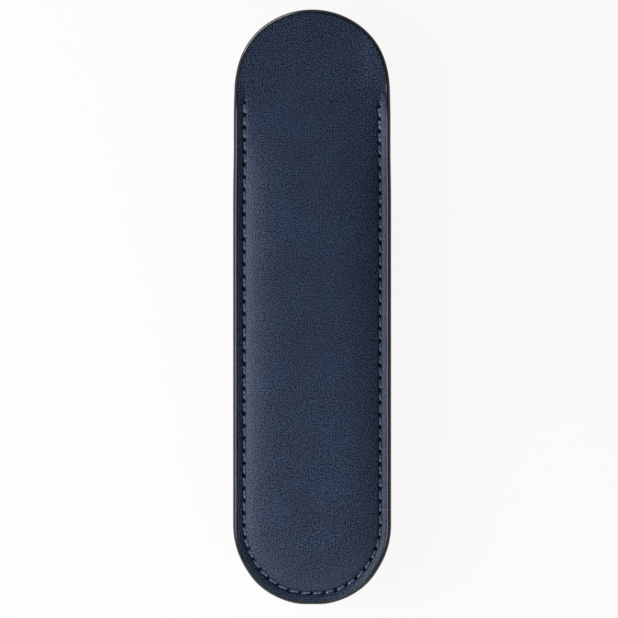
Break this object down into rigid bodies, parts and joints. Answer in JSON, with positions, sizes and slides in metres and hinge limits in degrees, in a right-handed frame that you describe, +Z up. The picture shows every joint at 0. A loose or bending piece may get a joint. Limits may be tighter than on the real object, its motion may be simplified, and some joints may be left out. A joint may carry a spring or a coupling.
{
  "type": "single pen sleeve",
  "caption": "Long round-ended leather sleeve for one pen: a stitched, lined pocket behind a full-length face panel whose free round tongue bends back above the mouth.",
  "frame": {"origin": "under the middle of the sleeve, on the surface it lies on", "axes": "+Z up out of the face, +Y along the sleeve towards the tongue, +X across it"},
  "size_m": [0.045, 0.17, 0.0151],
  "materials": {
    "navy_leather": "satin",
    "suede_lining": "matte",
    "navy_thread": "satin",
    "edge_paint": "gloss"
  },
  "bodies": {
    "sleeve": {"face_panel": "navy_leather", "face_lining": "suede_lining", "pocket_panel": "navy_leather", "pocket_lining": "suede_lining", "needle_thread": "navy_thread", "bobbin_thread": "navy_thread", "seam_edge_coat": "edge_paint", "mouth_edge_coat": "edge_paint"},
    "tongue": {"tongue_panel": "navy_leather", "tongue_lining": "suede_lining", "tongue_edge_coat": "edge_paint"}
  },
  "joints": [
    {"name": "tongue_flex", "type": "hinge", "parent": "sleeve", "child": "tongue", "pos_m": [0, 0.0605, 0.0121], "axis": [1, 0, 0], "range_deg": [0, 80], "stiffness_Nm_per_rad": 0.01}
  ]
}
